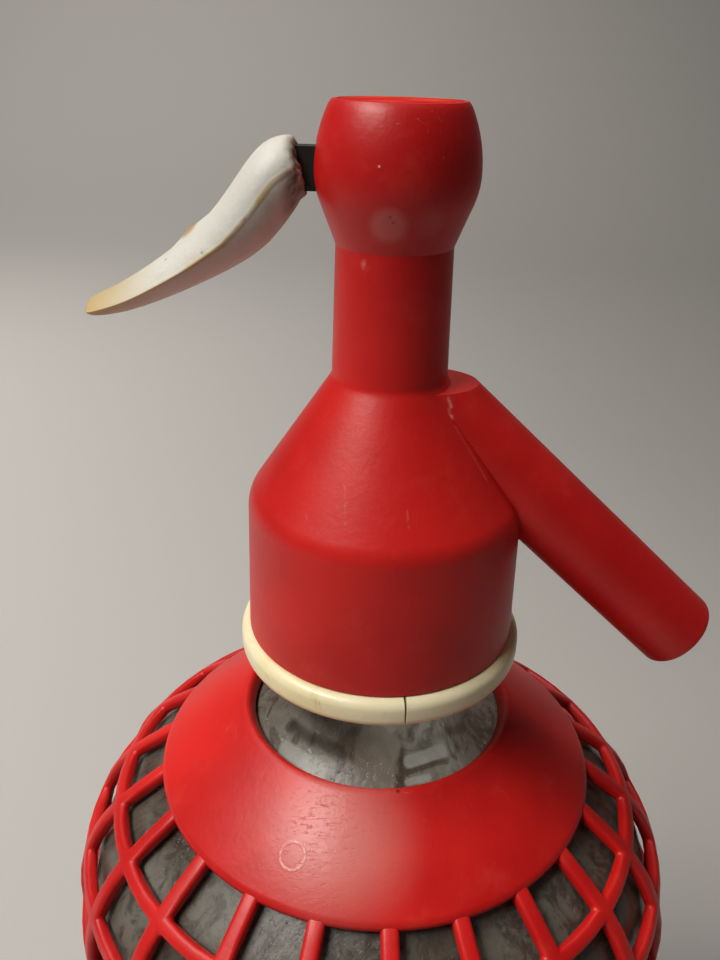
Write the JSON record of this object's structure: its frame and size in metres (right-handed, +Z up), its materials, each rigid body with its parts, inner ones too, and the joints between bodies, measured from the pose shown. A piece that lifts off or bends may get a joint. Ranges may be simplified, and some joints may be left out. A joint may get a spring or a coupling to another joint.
{
  "type": "soda siphon",
  "caption": "Glass siphon bottle in a moulded mesh basket, with a plastic head, a sloping spout and a thumb lever that lifts a spring-loaded valve.",
  "frame": {"origin": "centre of the face that the siphon stands on", "axes": "+Z up along the bottle's axis, +X the way the spout points, -X the lever's side"},
  "size_m": [0.1108, 0.1108, 0.2959],
  "materials": {
    "red_plastic": "satin moulded, worn",
    "ivory_plastic": "aged, dirty in the grooves",
    "glass": "clear",
    "rubber": "matt",
    "brass": "turned",
    "steel": "dull, stained",
    "clear_plastic": "milky"
  },
  "bodies": {
    "siphon": {"glass_bottle": "glass", "mesh_basket": "red_plastic", "base_cup": "red_plastic", "base_pad": "rubber", "split_ring_right": "ivory_plastic", "split_ring_left": "ivory_plastic", "head_shell": "red_plastic", "nozzle_bush": "ivory_plastic", "top_cap": "red_plastic", "neck_gasket": "rubber", "tube_socket": "ivory_plastic", "seat_washer": "rubber", "dip_tube": "clear_plastic", "valve_seat": "brass", "packing_ring": "rubber", "gland_bush": "brass", "return_spring": "steel", "lever_carrier": "brass", "pivot_pin": "steel"},
    "lever": {"lever_arm": "steel", "lever_grip": "ivory_plastic"},
    "valve": {"valve_stem": "brass", "valve_seal": "rubber", "spring_washer": "brass"}
  },
  "joints": [
    {"name": "valve_lift", "type": "slide", "parent": "siphon", "child": "valve", "axis": [0, 0, 1], "range_m": [0, 0.00146], "deforming": ["return_spring"]},
    {"name": "lever_press", "type": "hinge", "parent": "siphon", "child": "lever", "pos_m": [-0.006, 0, 0.28705], "axis": [0, -1, 0], "range_deg": [0, 14], "stiffness_Nm_per_rad": 0.3, "springref_deg": -2.86}
  ],
  "couplings": [
    {"joint": "lever_press", "follows": "valve_lift", "rad_per_m": 166.67}
  ]
}
